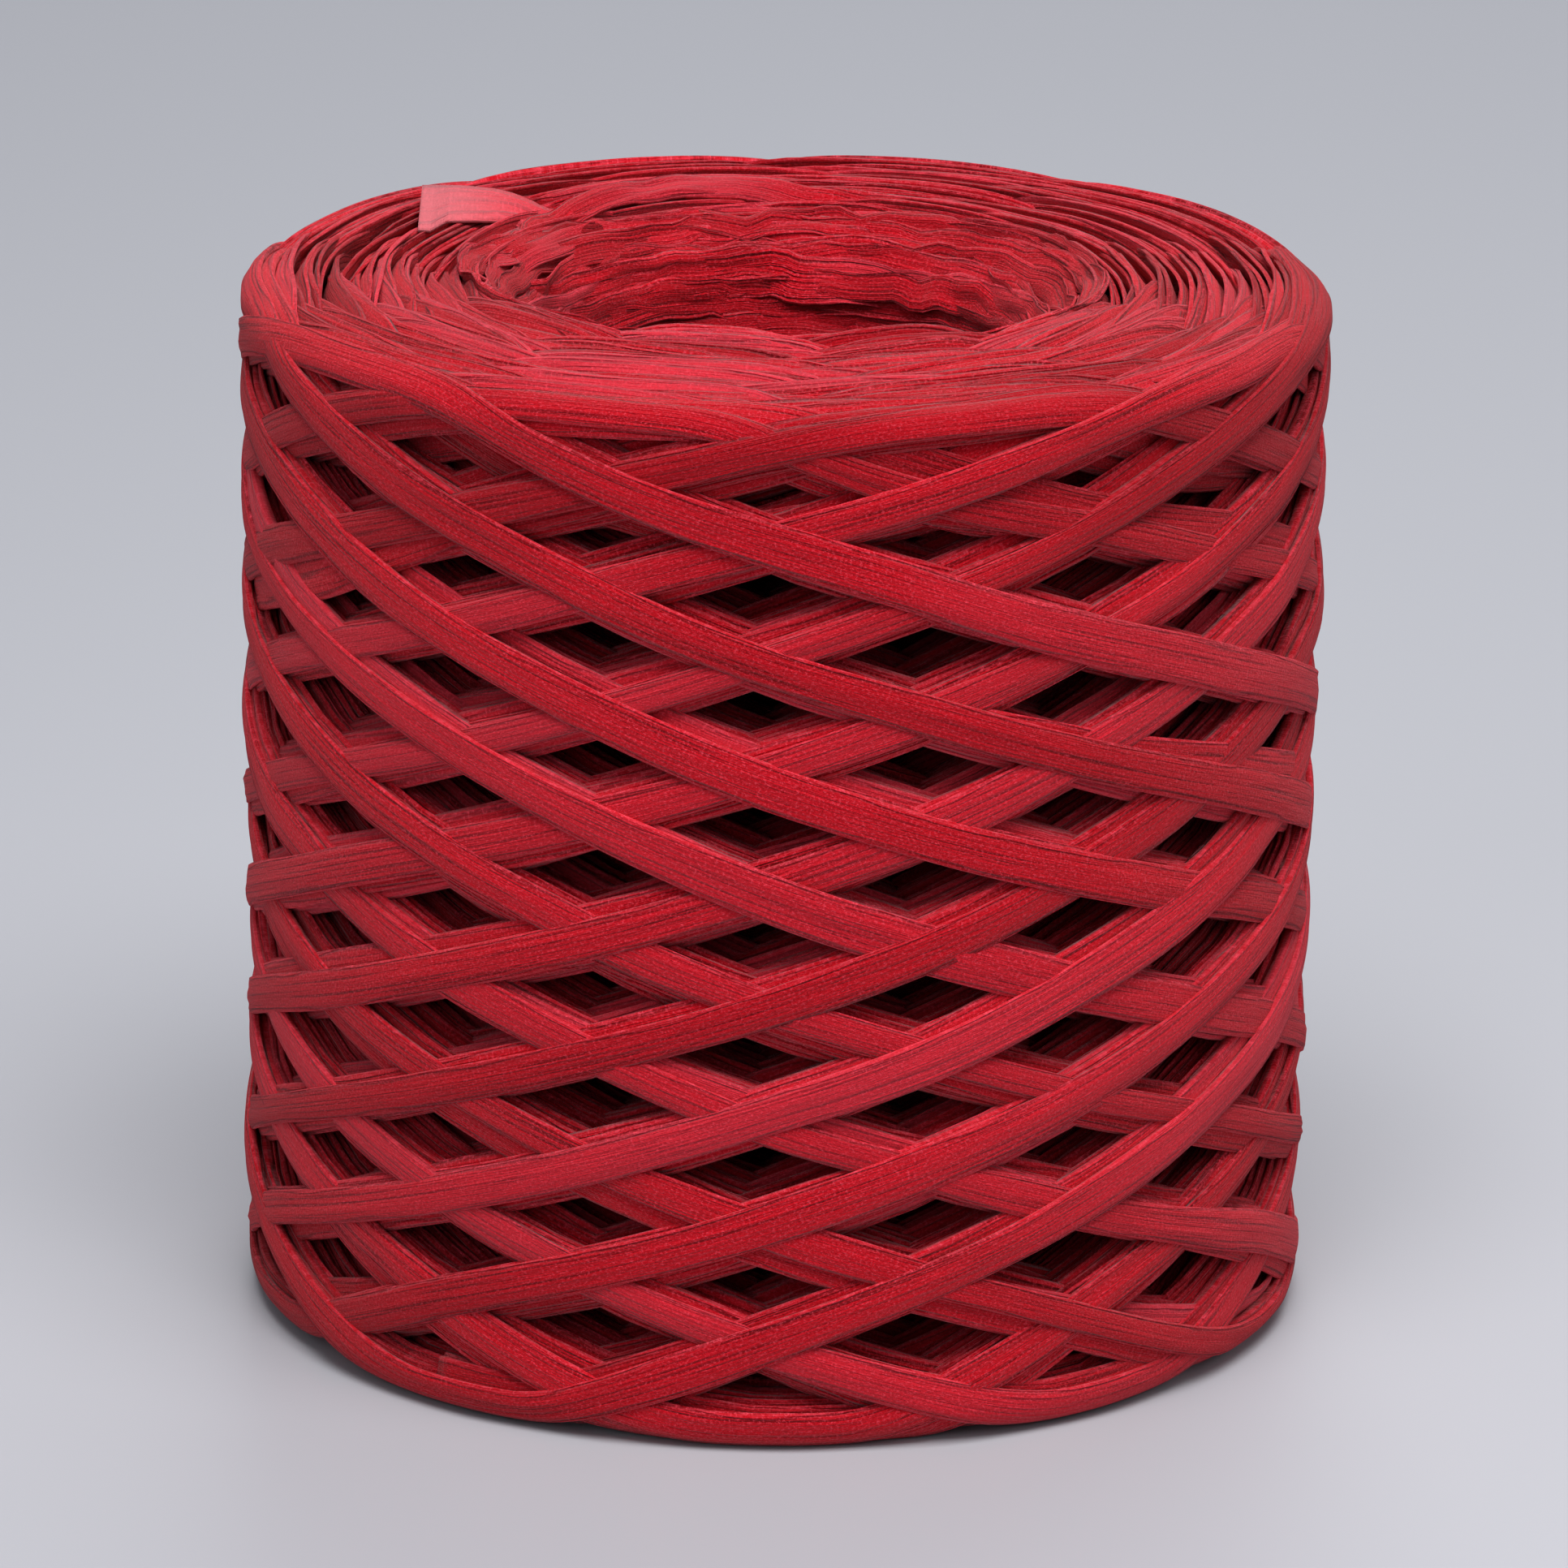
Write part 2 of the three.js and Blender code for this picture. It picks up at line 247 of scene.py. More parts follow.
# How many degrees late a turn comes, how far its peak is moved, and how the turns settle at one level.
TURN_LATENESS = 7
LATE_LIMIT = 2
BOTTOM_LATENESS = 0.6
TOP_LIFT = 0.2
TOP_SHORTFALL = 0.5
BOTTOM_DROP = 1.0
BOTTOM_SHORTFALL = 0.3
TOP_SETTLE = (0.7, 2.5)
BOTTOM_SETTLE = (0.6, 2.5)


def ribbon_height(w, stray, settle):
    """Gives the height of the ribbon's middle, as it strays from its line and levels out in the bands."""
    plain = height_along(w)
    near_top = ease((plain - TOP_BAND) / BAND_FADE)
    near_bottom = ease((BOTTOM_BAND - plain) / BAND_FADE)
    top_turn = 2 * np.floor(w / (2 * STROKE)).astype(int)
    bottom_turn = 2 * np.floor(w / (2 * STROKE) + 0.5).astype(int) + 1
    late = TURN_DRIFT.steps[top_turn] * near_top
    late = late + BOTTOM_LATENESS * TURN_DRIFT.steps[bottom_turn] * near_bottom
    z = height_along(w + TURN_LATENESS * stray * np.clip(late, -LATE_LIMIT, LATE_LIMIT))
    z = TOP_PEAK - flatten(np.maximum(TOP_PEAK - z, 0), *settle)
    z = BOTTOM_PEAK + flatten(np.maximum(z - BOTTOM_PEAK, 0), *BOTTOM_SETTLE)
    z = z + near_top * (TOP_LIFT - TOP_SHORTFALL * stray * np.abs(PEAK_DRIFT.steps[top_turn]))
    z = z + near_bottom * (BOTTOM_SHORTFALL * stray * np.abs(PEAK_DRIFT.steps[bottom_turn]) - BOTTOM_DROP)
    calm = 1 - BAND_CALM * np.maximum(near_top, near_bottom)
    return z + calm * HEIGHT_STRAY * HEIGHT_DRIFT.at(w) + HEIGHT_SHAKE * HEIGHT_JITTER.at(w)


first_stroke = ribbon_height(np.arange(0, STROKE), 1.0, TOP_SETTLE)
print("first stroke from", round(first_stroke.min(), 2), "to", round(first_stroke.max(), 2))

# %% [markdown]
# ## The funnel at the bore's mouth
# When the inner end is pulled out, the innermost layers lose their hold and sink towards the bore.
# In the photo the mouth is a shallow funnel at the sides and the back, and still upright at the front.
# A lattice could bend the finished mesh. Sinking the path itself keeps each ribbon's width true.

# %% Funnel
# Its depth and its width from the bore outwards, and the angles at which it begins on either side.
FUNNEL_DEPTH = 5.0
FUNNEL_WIDTH = 6.5
FRONT_HALF_ANGLE = 20
SIDE_FADE = 50


def open_side(angle):
    """Says where the bore's mouth is pulled wide: not at the front, but at the sides and the back."""
    return ease((np.abs((angle + 180) % 360 - 180) - FRONT_HALF_ANGLE) / SIDE_FADE)


def funnel_drop(radius, angle):
    """Says how far the rim's inner layers have sunk towards the bore."""
    return FUNNEL_DEPTH * open_side(angle) * (1 - ease((radius - BORE_RADIUS) / FUNNEL_WIDTH))


print("funnel drop at the back of the bore:", float(funnel_drop(BORE_RADIUS, 180)))

# %% [markdown]
# ## Where the ribbon lies
# A flat ribbon needs more than a line: at each place it also has a way across it and a way out of it.
# A curve with a bevel would twist it as Blender sees fit. Here both ways follow from the slope of the path,
# and a small lean is added, which grows in the top band, where the ribbons stand on edge and tip over.
# The outermost ribbon is 3.6 mm wide. The one below is wider, and those of the stack are wider still: they
# stand for strokes that stray further than the drift lets them, and that look like one broad strand.

# %% The path of the ribbon
# Widths, the shares by which they drift, and what the radius does.
RIBBON_WIDTH = 3.6
UNDER_WIDTH = 4.1
STACK_WIDTH = 4.7
WIDTH_STRAY = 0.14
WIDTH_SHAKE = 0.05
RADIUS_SHAKE = 0.06
OUTER_RADIUS = 50

# The heights at which the ribbon begins to tip over and to sink into the funnel, and its lean in degrees.
RIM_START = 84
RIM_FADE = 10
FUNNEL_START = 80
FUNNEL_FADE = 14
WALL_LEAN = 2
RIM_LEAN = 6


def lay(theta, radius, z, lean):
    """Lays the ribbon's middle round the axis. Gives it, the way across the ribbon and the way out of it."""
    out = np.stack([np.sin(theta), -np.cos(theta), 0 * theta], 1)
    round_way = np.stack([np.cos(theta), np.sin(theta), 0 * theta], 1)
    up = np.array([0, 0, 1.0])
    slope = np.arctan2(np.gradient(z), -radius * np.gradient(theta))[:, None]
    across = np.cos(slope) * up + np.sin(slope) * round_way
    lean = np.radians(lean)[:, None]
    leaning = np.cos(lean) * across - np.sin(lean) * out
    facing = np.cos(lean) * out + np.sin(lean) * across
    return radius[:, None] * out + z[:, None] * up, leaning, facing


def ribbon_frame(w, stray=1.0, settle=TOP_SETTLE, width=RIBBON_WIDTH):
    """Gives the ribbon's middle, the ways across and out of it and its half width, at each angle."""
    z = ribbon_height(w, stray, settle)
    near_rim = ease((z - RIM_START) / RIM_FADE)
    half = 0.5 * width * (1 + WIDTH_STRAY * WIDTH_DRIFT.at(w) + WIDTH_SHAKE * WIDTH_JITTER.at(w))
    radius = BORE_RADIUS + LAYER * level_along(w) + RADIUS_SHAKE * RADIUS_JITTER.at(w)
    radius = radius + TAPER * (z / HEIGHT - 0.5) * radius / OUTER_RADIUS
    z = z - funnel_drop(radius, START_ANGLE - w) * ease((z - FUNNEL_START) / FUNNEL_FADE)
    lean = (WALL_LEAN + RIM_LEAN * stray * near_rim) * LEAN_DRIFT.at(w)
    return *lay(np.radians(START_ANGLE - w), radius, z, lean), half


middle, across, out, half = ribbon_frame(np.arange(0, CYCLE, 30.0))
print("half widths in the first cycle:", round(half.min(), 2), "to", round(half.max(), 2))

# %% [markdown]
# ## The rolled rims
# The band's outer turns don't stop at a sharp corner: they curl over both rims and lie on the end faces.
# A bevel can't round thousands of loose strips. So the points past each rim are bent along an arc instead.
# Each layer has an arc round its own centre, which keeps the layers in order. At the top the arc fades
# towards the bore, where the ribbons stand on edge.

# %% Rims
# The arc's radius, the share of the wall in which it grows to its full size, and its longest bend.
RIM_ROUNDING = 3.5
RIM_GROWTH = 8
MOST_BEND = 1.4
FLOOR_GAP = 0.05


def roll_rims(rings, middle):
    """Bends what stands past the rims inwards, each layer round its own centre."""
    own = np.hypot(middle[:, 0], middle[:, 1])[:, None]
    radius = np.hypot(rings[..., 0], rings[..., 1])
    z = rings[..., 2]
    past_top = z - (HEIGHT - RIM_ROUNDING)
    past_bottom = RIM_ROUNDING - z
    bend = np.clip(np.maximum(past_top, past_bottom) / RIM_ROUNDING, 0, MOST_BEND)
    reach = RIM_ROUNDING + radius - own
    top = HEIGHT - RIM_ROUNDING + reach * np.sin(bend)
    bottom = np.maximum(RIM_ROUNDING - reach * np.sin(bend), FLOOR_GAP)
    rolled = own - RIM_ROUNDING + reach * np.cos(bend)
    share = np.clip((own - BORE_RADIUS) / RIM_GROWTH, 0, 1)
    top = z * (1 - share) + top * share
    rolled_top = radius * (1 - share) + rolled * share
    ratio = np.where(past_top > 0, rolled_top / radius, np.where(past_bottom > 0, rolled / radius, 1))
    height = np.where(past_top > 0, top, np.where(past_bottom > 0, bottom, z))
    return np.stack([rings[..., 0] * ratio, rings[..., 1] * ratio, height], -1)


print("rims rounded by", RIM_ROUNDING, "mm")

# %% [markdown]
# ## The section and the sweep
# The ribbon is crepe paper folded flat: about 4 mm wide, a few tenths thick, with a soft fold at each edge.
# Deep in the roll six points are enough for it. On the outer layers sixteen let it crease lengthwise.
# In the walls the six-point ribbon is a little thicker than real paper, so that no light falls between two
# layers. The outer ones are thin, but their inner face sags on to the layer below where they bridge a step.
# A curve with a bevel can do neither, and it has no place for the creases. A few lines of sums have.

# %% Section and sweep
# Thicknesses of the bulk in the bands and in the walls, and of the outer and inner layers.
EDGE_THICKNESS = 0.42
WALL_THICKNESS = 0.60
RIBBON_THICKNESS = 0.36

# Points of a section: across it from -1 to 1, and -1 or 1 for its inner or outer face.
SHOULDER = 0.86
PLAIN_SECTION = np.array(
    [(-1, 0), (-SHOULDER, 1), (SHOULDER, 1), (1, 0), (SHOULDER, -1), (-SHOULDER, -1)], float
)
OUTER_PLACES = (-0.94, -0.7, -0.44, -0.15, 0.15, 0.44, 0.7, 0.94)
INNER_PLACES = (0.9, 0.55, 0.2, -0.2, -0.55, -0.9)
FINE_SECTION = np.array(
    [(-1, 0)] + [(x, 1) for x in OUTER_PLACES] + [(1, 0)] + [(x, -1) for x in INNER_PLACES], float
)


def sagging(section, share):
    """Sinks the inner face of a section, so that the ribbon lies on the layers under it."""
    return section * np.stack([np.ones(len(section)), np.where(section[:, 1] < 0, share, 1)], 1)


def sweep(middle, across, out, half, section, thickness, crease=0.0, crown=0.0):
    """Sweeps a section along the ribbon and gives its rings of points."""
    wide = section[:, 0] * half[:, None]
    thick = np.broadcast_to(thickness, half.shape)[:, None]
    deep = 0.5 * thick * section[:, 1] + crown * (1 - section[:, 0] ** 2) + crease
    return middle[:, None] + across[:, None] * wide[..., None] + out[:, None] * deep[..., None]


def creases_along(w, per_stroke):
    """Gives how far each point of the fine section is pushed out by the folds along the ribbon."""
    half_way = 0.5 * (len(CREASE_DRIFTS) - 1)
    places = half_way + half_way * FINE_SECTION[:, 0]
    below = np.minimum(places.astype(int), len(CREASE_DRIFTS) - 2)
    drifts = np.stack([crease.at(w, per_stroke) for crease in CREASE_DRIFTS], 1)
    share = places - below
    return drifts[:, below] * (1 - share) + drifts[:, below + 1] * share


print("section points:", len(PLAIN_SECTION), "plain,", len(FINE_SECTION), "fine")

# %% [markdown]
# ## From rings to a mesh
# A modifier or a curve would cut 180 m of ribbon into far too many faces. Rings of points that are joined to
# their neighbours make the fewest, and steps can be long where only edges show.
# Each piece also gets two maps. One runs along and across the ribbon in centimetres, for the paper's grain.
# The other lays the long strip out in rows inside the unit square, which is what baking its colours needs.

# %% Faces and maps
# Rows have a margin, so that no colour runs into the next. The tiny closed ends share one corner.
ROW_FILL = 0.9
ROW_MARGIN = 0.05
CAP_CORNER = (0.001, 0.999)
CAP_SPREAD = 0.0005
CAP_SEED = 1


def strip_faces(sections, points):
    """Joins each ring to the next with quads and closes both ends. Gives the corners and the face starts."""
    s, k = np.meshgrid(np.arange(sections - 1), np.arange(points), indexing="ij")
    after = (k + 1) % points
    quads = np.stack([s * points + k, s * points + after, (s + 1) * points + after, (s + 1) * points + k], -1)
    quads = quads.reshape(-1, 4)
    first = np.arange(points)[::-1]
    last = (sections - 1) * points + np.arange(points)
    starts = np.concatenate([np.arange(len(quads)) * 4, [len(quads) * 4, len(quads) * 4 + points]])
    return np.concatenate([quads.ravel(), first, last]), starts


def rows_in_square(sections, points, rows):
    """Lays the strip's quads out in rows inside the unit square, and its two ends in one corner of it."""
    s, k = np.meshgrid(np.arange(sections - 1), np.arange(points), indexing="ij")
    per_row = math.ceil((sections - 1) / rows)
    row = s // per_row
    x0 = (s - row * per_row) / per_row
    y0 = (row + ROW_MARGIN + ROW_FILL * k / points) / rows
    x1 = x0 + 1 / per_row
    y1 = y0 + ROW_FILL / points / rows
    quads = np.stack([x0, y0, x0, y1, x1, y1, x1, y0], -1).reshape(-1, 2)
    spread = np.random.default_rng(CAP_SEED).random((2 * points, 2))
    return np.concatenate([quads, np.full((2 * points, 2), CAP_CORNER) + CAP_SPREAD * spread])


def add_map(mesh, name, places):
    """Adds a map to the mesh from one place for each corner."""
    layer = mesh.uv_layers.new(name=name)
    layer.data.foreach_set("uv", places.astype(np.float32).ravel())


corners, starts = strip_faces(3, 6)
print("three rings of six points make", len(starts), "faces")

# %% [markdown]
# Three more numbers go with each point, for the paint: its place across the ribbon, the ribbon's tone, its
# own with painted shade added in places, and how deep in the wall it lies. A real pit is darker than lamps
# alone would make it here, because loose fibres and slits between the layers swallow the light. So the depth
# paints shade there, a darker red.

# %% Marks for the paint
# Where light still comes in full from the outside and from both ends, and over how much it is lost.
SHADED_DEPTH = 14
FULL_LIGHT_RADIUS = 48.5
TOP_LIT = 88
TOP_LIT_FADE = 7
BOTTOM_LIT = 2
BOTTOM_LIT_FADE = 6


def length_along(middle):
    """Measures the ribbon from its first section to each other one."""
    steps = np.linalg.norm(np.diff(middle, axis=0), axis=1)
    return np.concatenate([[0], np.cumsum(steps)])


def section_places(points):
    """Gives the place across the ribbon of each point of a section."""
    for section in (PLAIN_SECTION, FINE_SECTION):
        if len(section) == points:
            return section[:, 0]
    return np.linspace(-1, 1, points)


def depth_of(rings):
    """Says how deep in the wall each ring lies, from 0 at the outside and both ends to 1 next to the bore,
    for the painted shade of the pits.
    """
    middle = rings.mean(1)
    radius = np.hypot(middle[:, 0], middle[:, 1])
    below_top = ease((TOP_LIT - middle[:, 2]) / TOP_LIT_FADE)
    above_bottom = ease((middle[:, 2] - BOTTOM_LIT) / BOTTOM_LIT_FADE)
    return below_top * above_bottom * np.clip((FULL_LIGHT_RADIUS - radius) / SHADED_DEPTH, 0, 1)


print("a section of six points lies at", section_places(6))

# %% [markdown]
# The builder below hands whole arrays to Blender at once. Adding faces one by one would take minutes.

# %% Mesh builder
METRES = 0.001
CENTIMETRES = 0.1


def ring_piece(name, rings, middle, tone, bake_rows):
    """Makes a closed strip from rings of points, in millimetres, and gives the object."""
    sections, points = rings.shape[:2]
    corners, starts = strip_faces(sections, points)
    mesh = bpy.data.meshes.new(name)
    mesh.vertices.add(sections * points)
    mesh.vertices.foreach_set("co", (rings.reshape(-1, 3) * METRES).astype(np.float32).ravel())
    mesh.loops.add(len(corners))
    mesh.loops.foreach_set("vertex_index", corners.astype(np.int32))
    mesh.polygons.add(len(starts))
    mesh.polygons.foreach_set("loop_start", starts.astype(np.int32))
    mesh.update(calc_edges=True)
    mesh.polygons.foreach_set("use_smooth", np.ones(len(starts), bool))

    across = np.tile(section_places(points), sections)
    along = np.repeat(length_along(middle), points)
    grain = CENTIMETRES * np.stack([along, 0.5 * RIBBON_WIDTH * across], 1)
    add_map(mesh, "RibbonUV", grain[corners])
    add_map(mesh, "OFBake", rows_in_square(sections, points, bake_rows))
    mesh.uv_layers.active = mesh.uv_layers["OFBake"]

    marks = {"across": across, "tone": np.repeat(tone, points), "pit_shade": np.repeat(depth_of(rings), points)}
    for label, values in marks.items():
        attribute = mesh.attributes.new(label, "FLOAT", "POINT")
        attribute.data.foreach_set("value", values.astype(np.float32))
    mesh.validate()
    piece = bpy.data.objects.new(name, mesh)
    scene.collection.objects.link(piece)
    print(name, "triangles:", len(mesh.loops) - 2 * len(mesh.polygons))
    return piece


print("a millimetre is", METRES, "in the scene and", CENTIMETRES, "on the map of the grain")

# %% [markdown]
# ## The bulk of the roll
# Thirty-four cycles lie between the innermost and the outermost two, and of most of them only edges show.
# The straights take long steps there, and the turns at the ends, where whole faces show, take short ones.
# They could be one piece, or one for each stroke. Three pieces of about 140,000 triangles are light enough
# to handle and few enough to keep in view.

# %% Steps of the bulk layers
# Degrees on either side of a turn that take short steps, and the steps themselves.
BOTTOM_TURN = 40
TOP_TURN = 55
STRAIGHT_STEP = 9.0
TOP_STEP = 3.5
BOTTOM_STEP = 6.0


def winding_angles(first_cycle, last_cycle):
    """Lists winding angles from one cycle to another, closer together in the turns."""
    parts = (
        np.arange(0, BOTTOM_TURN, BOTTOM_STEP),
        np.arange(BOTTOM_TURN, STROKE - TOP_TURN, STRAIGHT_STEP),
        np.arange(STROKE - TOP_TURN, STROKE + TOP_TURN, TOP_STEP),
        np.arange(STROKE + TOP_TURN, 2 * STROKE - BOTTOM_TURN, STRAIGHT_STEP),
        np.arange(2 * STROKE - BOTTOM_TURN, 2 * STROKE, BOTTOM_STEP),
    )
    trip = np.concatenate(parts)
    trips = np.arange(first_cycle * PAIRS, last_cycle * PAIRS) * 2 * STROKE
    return np.append((trips[:, None] + trip).ravel(), last_cycle * CYCLE)


print("sections in a cycle:", len(winding_angles(0, 1)) - 1)

# %% [markdown]
# Just below the upper rim, where the rim leans out above them, the outer strands get painted shade: a deeper
# red.
# A mask in the material would do too. A lower tone is easier, since each section has one anyway.

# %% Bulk layers
# The cycles of each piece and the rows of its map, its tone, and where its thicker wall ends.
BULK = ((2, 14), (14, 25), (25, 36))
BULK_ROWS = 76
BULK_TONE = 1.4
TONE_LIMIT = 2.2
WALL_TOP = 88
WALL_FADE = 8

# How much darker the band is, and the radius and the heights between which it lies.
BAND_SHADE = 1.3
BAND_INSIDE = 45
BAND_INSIDE_FADE = 2
BAND_LOW = 79
BAND_LOW_FADE = 6
BAND_HIGH = 96.5
BAND_HIGH_FADE = 3


def painted_shade_of_band(middle):
    """Says how much painted shade darkens the red of the outer turns in the band below the upper rim."""
    outside = ease((np.hypot(middle[:, 0], middle[:, 1]) - BAND_INSIDE) / BAND_INSIDE_FADE)
    above = ease((middle[:, 2] - BAND_LOW) / BAND_LOW_FADE)
    below = ease((BAND_HIGH - middle[:, 2]) / BAND_HIGH_FADE)
    return BAND_SHADE * outside * above * below


roll_pieces = []
for number, (first, last) in enumerate(BULK):
    w = winding_angles(first, last)
    middle, across, out, half = ribbon_frame(w, width=STACK_WIDTH)
    in_wall = ease((WALL_TOP - middle[:, 2]) / WALL_FADE)
    thickness = EDGE_THICKNESS + (WALL_THICKNESS - EDGE_THICKNESS) * in_wall
    rings = roll_rims(sweep(middle, across, out, half, PLAIN_SECTION, thickness), middle)
    tone = np.clip(BULK_TONE * TONE_DRIFT.at(w), -TONE_LIMIT, TONE_LIMIT) - painted_shade_of_band(middle)
    roll_pieces.append(ring_piece(f"layers_{number + 1}", rings, middle, tone, BULK_ROWS))

# %% [markdown]
# ## The outer layers
# The last two cycles are what the eye reads: each ribbon has its own width, creases along it and worn edges.
# Here and there a ribbon bows out a little, where nothing holds it down between two crossings. The one
# under it lies a little to the side, and it sags further, so that no slit opens over the layer below.
# A crease that is only painted vanishes where the ribbon turns away from the eye. So the large ones are in
# the mesh, and the paint adds finer ones. The outer end doesn't show in the photo: the ribbon runs on for
# almost half a turn, up the left side and round to the back right, and its last stretch is tucked in.

# %% Outer layers
# Steps in degrees, the share of the stray, the creases with how many come to a stroke, and map rows.
OUTER_STEP = 1.5
OUTER_STRAY = 0.45
OUTER_CREASE = 0.08
OUTER_CREASES = 24
OUTER_ROWS = 20

# The rise of the ribbon's middle over its edges, and how the lower and the upper ribbon differ.
CROWN = 0.22
SAGS = (4.6, 3.0)
WIDTHS = (UNDER_WIDTH, RIBBON_WIDTH)

# How far ribbons bow out or lie aside, and the degrees that the last one runs on and is tucked in.
BOW = 0.2
BOW_FROM = 0.8
ASIDE_LIMIT = 1.8
ASIDE_TOP = 86
ASIDE_FADE = 8
TAIL = 168.0
TUCK = 14.0
TUCK_DEPTH = 0.9
PAST_END = 0.1
BOW_DRIFT = Drift(51, 9, 0.0)
ASIDE_DRIFT = Drift(52, 4, 0.0)

for number, first in enumerate((CYCLES - 2, CYCLES - 1)):
    end = (first + 1) * CYCLE + TAIL * number
    w = np.arange(first * CYCLE, end + PAST_END, OUTER_STEP)
    middle, across, out, half = ribbon_frame(w, OUTER_STRAY, width=WIDTHS[number])
    bow = np.clip(BOW_DRIFT.at(w) - BOW_FROM, 0, 1) * BOW
    tuck = TUCK_DEPTH * number * ease((w - end + TUCK) / TUCK)
    aside = (1 - number) * np.clip(ASIDE_DRIFT.at(w), -ASIDE_LIMIT, ASIDE_LIMIT)
    aside = aside * ease((ASIDE_TOP - middle[:, 2]) / ASIDE_FADE)
    middle = middle + out * (bow - tuck)[:, None] + across * aside[:, None]
    section = sagging(FINE_SECTION, SAGS[number])
    crease = OUTER_CREASE * creases_along(w, OUTER_CREASES)
    rings = roll_rims(sweep(middle, across, out, half, section, RIBBON_THICKNESS, crease, CROWN), middle)
    tone = TONE_DRIFT.at(w) - painted_shade_of_band(middle)
    roll_pieces.append(ring_piece(f"outer_layers_{number + 1}", rings, middle, tone, OUTER_ROWS))

# %% [markdown]
# ## The innermost layers
# The mandrel pressed these flat. When it was drawn out they sprang loose, so they wave in and out of the
# bore. Where the inner end was pulled out, at the back left of the rim, they are crumpled outright.
# Cloth simulation would crumple them too, but it can't be told where. A drift that grows there can.

# %% Innermost layers
# Their number, steps, share of the stray, settling, map rows and creases.
INNER_CYCLES = 2
INNER_STEP = 3.0
INNER_STRAY = 1.5
INNER_SETTLE = (0.8, 8.0)
INNER_ROWS = 28
INNER_CREASE = 0.28
INNER_CREASES = 30

# How far they have dropped near the rim, how deep they wave and crumple, and where they were pulled.
INNER_DROP = 1.6
DROP_START = 70
DROP_FADE = 15
WAVE = 0.3
CRUMPLE = 1.1
CRUMPLE_START = 82
CRUMPLE_FADE = 8
PULLED_ANGLE = -95
PULLED_WIDTH = 35
WAVE_DRIFT = Drift(61, 40, 0.3)
CRUMPLE_DRIFT = Drift(62, 90, 0.0)
STRAY_DRIFT = Drift(63, 5, 0.0)


def pulled_at(angle):
    """Says how much the inner end's pulling out has crumpled the mouth of the bore at each angle."""
    return np.exp(-(((angle - PULLED_ANGLE) / PULLED_WIDTH) ** 2))


w = np.arange(0, INNER_CYCLES * CYCLE, INNER_STEP)
middle, across, out, half = ribbon_frame(w, INNER_STRAY, INNER_SETTLE)
middle[:, 2] -= INNER_DROP * np.abs(STRAY_DRIFT.at(w)) * ease((middle[:, 2] - DROP_START) / DROP_FADE)
angle = (START_ANGLE - w + 180) % 360 - 180
pulled = pulled_at(angle) * ease((middle[:, 2] - CRUMPLE_START) / CRUMPLE_FADE)
wave = WAVE * WAVE_DRIFT.at(w) + CRUMPLE * pulled * CRUMPLE_DRIFT.at(w)
middle = middle + out * wave[:, None]
crease = INNER_CREASE * creases_along(w, INNER_CREASES)
rings = roll_rims(sweep(middle, across, out, half, FINE_SECTION, RIBBON_THICKNESS, crease), middle)
roll_pieces.append(ring_piece("inner_layers", rings, middle, TONE_DRIFT.at(w), INNER_ROWS))

# %% [markdown]
# ## The first turns
# Near the rim the wall of the bore is lined by turns that lie almost level, crushed into long wrinkles.
# A machine lays such turns first, to grip the mandrel, and they don't follow the strokes. So they get a
# path of their own, a slow spiral that climbs to the rim. At the back and the sides it leans out along the
# funnel, and at the front it stands straight, under the rim. Both of its ends hide in the wall.
# Rings that are stacked one by one would be easier to place, but each would show where it closes.

# %% Path of the first turns
# Number of turns, step and first place in degrees, radius, lowest height and climb.
FIRST_TURNS = 24
FIRST_STEP = 2.6
FIRST_ANGLE = 150
FIRST_RADIUS = 23.6
FIRST_LOW = 77
FIRST_CLIMB = 20.2

# How deep the turns wave and shake up and down, and how often to a stroke. The front ones lie lower.
FIRST_WAVE = 0.55
FIRST_WAVES = 9
FIRST_SHAKE = 0.2
FIRST_SHAKES = 60
FRONT_DROP = 2.6
FRONT_START = 91
FRONT_FADE = 6

# How far the mouth flares, how deep the turns stray in and out, and the share of each end that hides.
MOUTH_FLARE = 5.4
MOUTH_START = 90.5
MOUTH_FADE = 8
FIRST_STRAY = 0.35
FIRST_STRAYS = 11
FIRST_CRUMPLE = 0.55
FIRST_CRUMPLES = 70
FIRST_CRUMPLE_START = 84
HIDING = 0.012
HIDING_DEPTH = 2

w = np.arange(0, FIRST_TURNS * 360, FIRST_STEP)
share = w / w[-1]
angle = (FIRST_ANGLE - w + 180) % 360 - 180
z = FIRST_LOW + FIRST_CLIMB * share + FIRST_WAVE * WAVE_DRIFT.at(w, FIRST_WAVES)
z = z + FIRST_SHAKE * CRUMPLE_DRIFT.at(w, FIRST_SHAKES)
z = z - FRONT_DROP * (1 - open_side(angle)) * ease((z - FRONT_START) / FRONT_FADE)
pulled = pulled_at(angle) * ease((z - FIRST_CRUMPLE_START) / CRUMPLE_FADE)
mouth = open_side(angle) * ease((z - MOUTH_START) / MOUTH_FADE)
hidden = ease((HIDING - share) / HIDING) + ease((share - 1 + HIDING) / HIDING)
radius = FIRST_RADIUS + MOUTH_FLARE * mouth + FIRST_STRAY * STRAY_DRIFT.at(w, FIRST_STRAYS)
radius = radius + HIDING_DEPTH * hidden + FIRST_CRUMPLE * pulled * CRUMPLE_DRIFT.at(w, FIRST_CRUMPLES)
print("first turns climb from", round(z.min(), 1), "to", round(z.max(), 1))

# %% [markdown]
# Each turn tips outwards by its own amount, and far more so in the funnel, where it is also narrower and
# more deeply creased. Further down the bore the paper gets a darker tone, as little light comes there.

